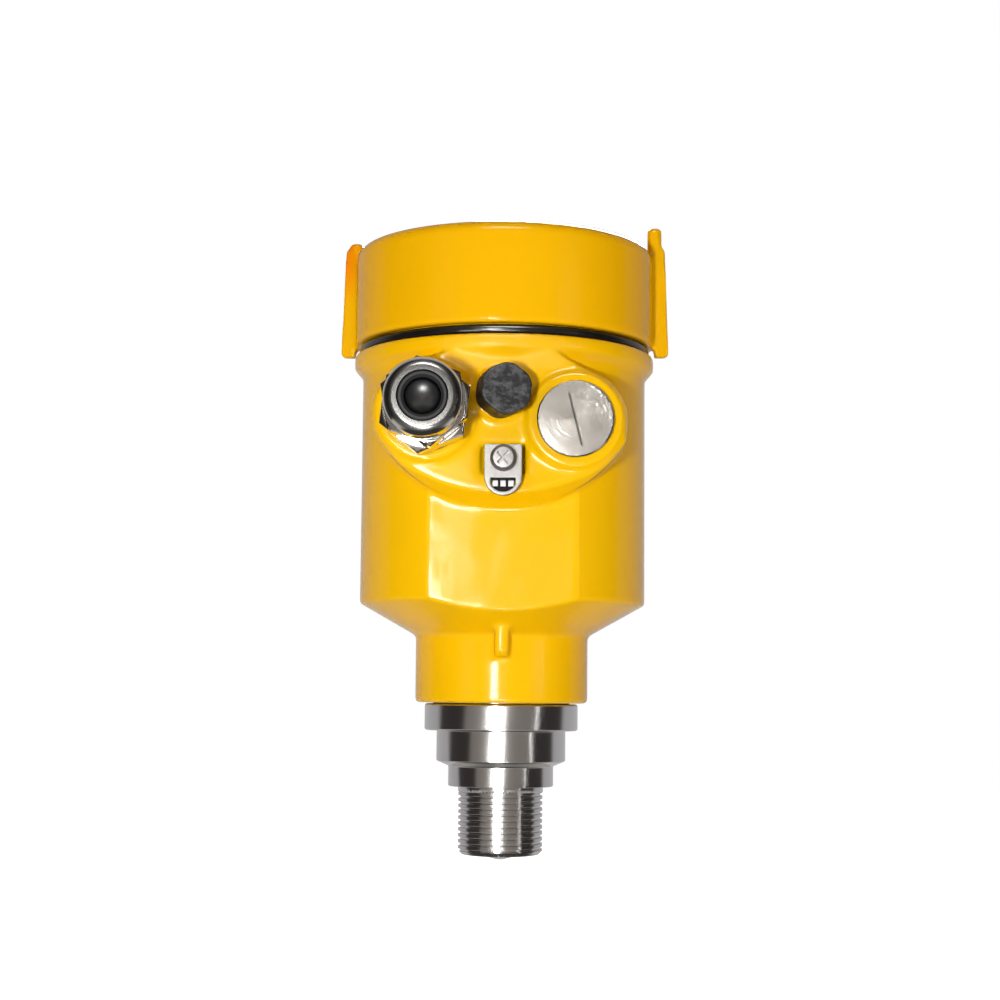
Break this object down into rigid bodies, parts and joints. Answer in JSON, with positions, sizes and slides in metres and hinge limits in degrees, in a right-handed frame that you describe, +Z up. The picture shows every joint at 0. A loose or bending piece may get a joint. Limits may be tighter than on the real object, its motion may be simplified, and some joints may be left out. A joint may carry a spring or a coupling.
{
  "type": "radar level transmitter",
  "caption": "Guided or free-space level sensor head: cast housing with screw lid, cable gland, blanked port, vent and earth clamp, turning on a threaded stainless process fitting.",
  "frame": {"origin": "on the vertical axis, at the sealing shoulder where the process thread ends", "axes": "+Z up through the head, -Y out of the side with the cable entries, +X to the right of someone facing them"},
  "size_m": [0.1042, 0.1222, 0.1992],
  "materials": {
    "yellow_enamel": "smooth glossy powder coat on die-cast aluminium",
    "stainless_turned": "finely turned bright stainless steel",
    "stainless_plug": "brushed across the head, satin",
    "stainless_small": "pressed and polished small parts",
    "nickel_plate": "polished nickel on brass",
    "seal_rubber": "smooth black rubber",
    "grommet_rubber": "matt dark grey rubber",
    "plug_rubber": "smooth shiny black rubber",
    "black_nylon": "moulded, lightly textured",
    "grey_nylon": "moulded, smooth",
    "white_ptfe": "machined, satin",
    "contact_brass": "gold flashed",
    "tin_can": "tinned screening can",
    "board_green": "glass-fibre board with green mask"
  },
  "bodies": {
    "process_connection": {"process_fitting": "stainless_turned", "neck_seals": "seal_rubber", "retaining_ring": "stainless_turned", "feed_insulator": "white_ptfe", "feed_seal": "seal_rubber", "feed_rod": "contact_brass", "feed_nose": "stainless_turned"},
    "head": {"housing": "yellow_enamel", "lid_seal": "seal_rubber", "gland_body": "nickel_plate", "gland_seal": "seal_rubber", "gland_grommet": "grommet_rubber", "gland_clamp_cage": "black_nylon", "vent_cap": "black_nylon", "vent_seal": "seal_rubber", "vent_membrane": "white_ptfe", "blanking_plug_seal": "seal_rubber", "ground_clamp": "stainless_small", "ground_jaw": "stainless_small", "ground_washer": "stainless_small", "electronics_cup": "black_nylon", "cup_screws": "stainless_small", "main_board": "board_green", "board_pillars": "contact_brass", "rf_module": "tin_can", "contact_socket": "contact_brass", "terminal_block": "grey_nylon", "terminal_screws": "stainless_small", "contact_pins": "contact_brass", "inner_ground_screw": "stainless_small"},
    "lid": {"lid": "yellow_enamel"},
    "gland_nut": {"gland_nut": "nickel_plate"},
    "dust_plug": {"dust_plug": "plug_rubber"},
    "blanking_plug": {"blanking_plug": "stainless_plug"},
    "ground_screw": {"ground_screw": "stainless_small"},
    "lock_screw": {"lock_screw": "stainless_small"}
  },
  "joints": [
    {"name": "housing_turn", "type": "hinge", "parent": "process_connection", "child": "head", "pos_m": [0, 0, 0.04], "axis": [0, 0, 1], "range_deg": [-165, 165]},
    {"name": "lid_lift", "type": "slide", "parent": "head", "child": "lid", "axis": [0, 0, 1], "range_m": [0, 0.05]},
    {"name": "gland_nut_turn", "type": "hinge", "parent": "head", "child": "gland_nut", "pos_m": [-0.0228, -0.06, 0.1114], "axis": [0, -1, 0], "range_deg": [0, 720]},
    {"name": "dust_plug_pull", "type": "slide", "parent": "head", "child": "dust_plug", "axis": [0, -1, 0], "range_m": [0, 0.02]},
    {"name": "blanking_plug_pull", "type": "slide", "parent": "head", "child": "blanking_plug", "axis": [0, -1, 0], "range_m": [0, 0.02]},
    {"name": "ground_screw_turn", "type": "hinge", "parent": "head", "child": "ground_screw", "pos_m": [0, -0.045, 0.0969], "axis": [0, -1, 0], "range_deg": [0, 1080]},
    {"name": "lock_screw_turn", "type": "hinge", "parent": "head", "child": "lock_screw", "pos_m": [0, 0.024, 0.0422], "axis": [0, 1, 0], "range_deg": [0, 720]}
  ]
}
